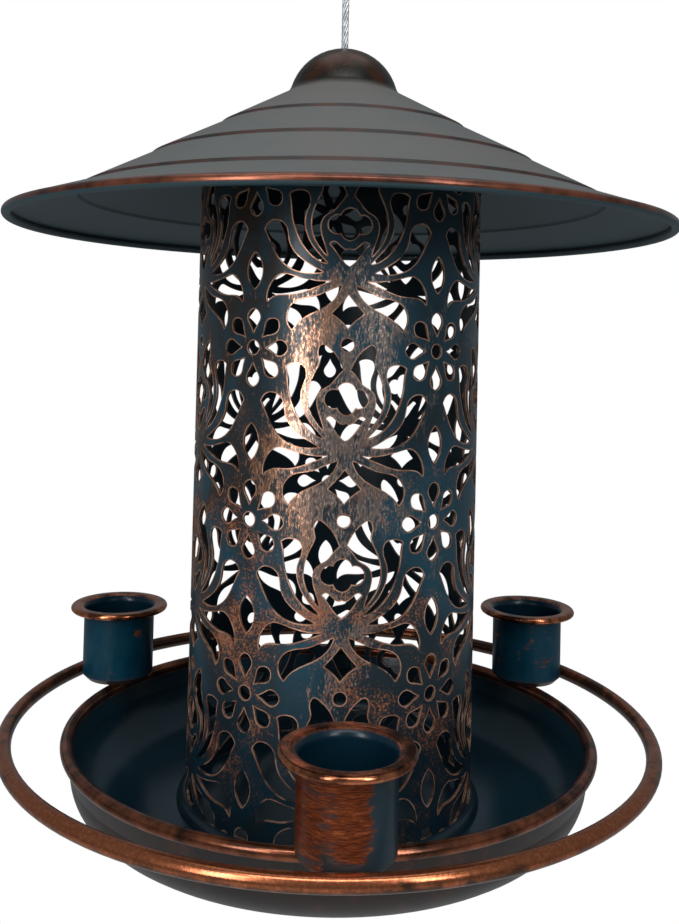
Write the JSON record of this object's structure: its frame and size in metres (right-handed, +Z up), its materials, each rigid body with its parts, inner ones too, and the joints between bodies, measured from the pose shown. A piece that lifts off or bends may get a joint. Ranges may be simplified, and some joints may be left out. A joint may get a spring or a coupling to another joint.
{
  "type": "hanging bird feeder",
  "caption": "Hanging metal bird feeder with a conical roof that slides on a steel cable, a filigree tube, a dished tray, a round perch and cups on the tray rim",
  "frame": {"origin": "centre of the tray's flat underside", "axes": "+Z up along the tube and the cable, -Y towards the front cup, +X to the right seen from the front"},
  "size_m": [0.25, 0.25, 0.3863],
  "materials": {
    "roof": "satin dark blue-grey patina with copper rubbed edges",
    "filigree_tube": "dark teal patina brushed through to copper",
    "tube_seat_ring": "dark teal patina",
    "tray": "dark teal satin inside, copper rubbed rim",
    "perch_ring": "copper rubbed over dark brown",
    "cups": "teal patina with copper rims and rust spots",
    "welds": "dark brown weld beads",
    "hanger": "dark teal patina",
    "rivets": "dull steel",
    "cable": "galvanised stranded wire rope",
    "sleeves": "crimped aluminium"
  },
  "bodies": {
    "feeder": {"filigree_tube": "filigree_tube", "tube_seat_ring": "tube_seat_ring", "tray": "tray", "perch_ring": "perch_ring", "cup_front": "cups", "cup_right": "cups", "cup_left": "cups", "perch_welds": "welds", "rim_welds": "welds", "hanger_bar": "hanger", "hanger_rivets": "rivets", "hanging_cable": "cable", "loop_sleeve": "sleeves", "stop_sleeve": "sleeves"},
    "roof": {"roof": "roof"}
  },
  "joints": [
    {"name": "roof_lift", "type": "slide", "parent": "feeder", "child": "roof", "axis": [0, 0, 1], "range_m": [0, 0.05]}
  ]
}
